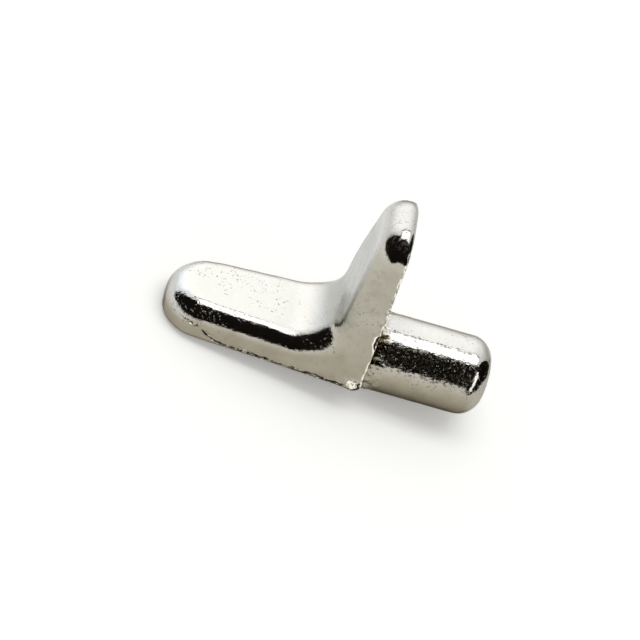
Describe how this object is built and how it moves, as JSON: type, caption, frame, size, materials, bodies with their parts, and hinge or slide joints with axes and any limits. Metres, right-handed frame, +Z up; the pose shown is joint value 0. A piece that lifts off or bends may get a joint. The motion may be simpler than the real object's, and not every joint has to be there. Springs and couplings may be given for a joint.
{
  "type": "shelf support pin",
  "caption": "Cast angle bracket with a round peg that plugs into a hole in a cabinet side and carries the end of a shelf.",
  "frame": {"origin": "on the peg's axis, at the shoulder face that seats against the cabinet side", "axes": "+X along the peg to its free end, -X along the arm to its tip, +Z up along the upright, +Y across the width"},
  "size_m": [0.0206, 0.007, 0.0135],
  "materials": {
    "nickel_plate": "bright nickel plate over a zinc casting"
  },
  "bodies": {
    "root": {"shelf_pin": "nickel_plate"}
  },
  "joints": []
}
